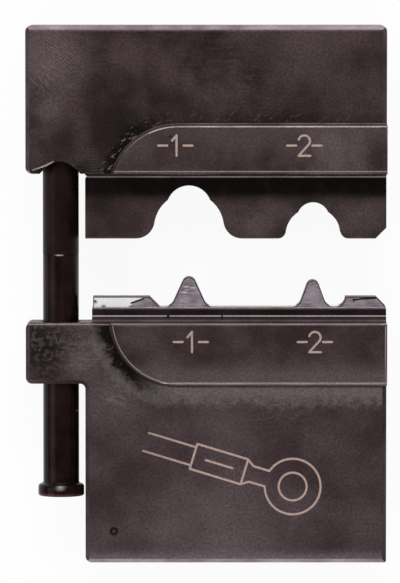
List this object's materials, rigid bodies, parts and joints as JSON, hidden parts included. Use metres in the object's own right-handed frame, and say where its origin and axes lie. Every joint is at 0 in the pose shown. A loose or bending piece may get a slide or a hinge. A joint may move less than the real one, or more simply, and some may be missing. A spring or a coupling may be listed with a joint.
{
  "type": "crimp die",
  "caption": "Crimping die cartridge: a nest half and an indenter half with raised seating lands, held together by a headed guide pin that the indenter half slides and turns on.",
  "frame": {"origin": "under the middle of the outline of the open pair, on the surface that the back lands lie on", "axes": "+X along the dies from the guide pin's side to the free side, +Y from the indenter half to the nest half, +Z out of the front faces"},
  "size_m": [0.04, 0.0596, 0.01],
  "materials": {
    "die_steel": "black oxide over milled and ground tool steel, satin",
    "pin_steel": "black oxide, polished where the lower die slides"
  },
  "bodies": {
    "upper_half": {"upper_die": "die_steel"},
    "pin": {"guide_pin": "pin_steel"},
    "lower_half": {"lower_die": "die_steel"}
  },
  "joints": [
    {"name": "swivel", "type": "hinge", "parent": "upper_half", "child": "pin", "pos_m": [-0.01615, 0.01342, 0.005], "axis": [0, 1, 0], "continuous": true},
    {"name": "slide", "type": "slide", "parent": "pin", "child": "lower_half", "axis": [0, 1, 0], "range_m": [-0.01123, 0.00647]}
  ]
}
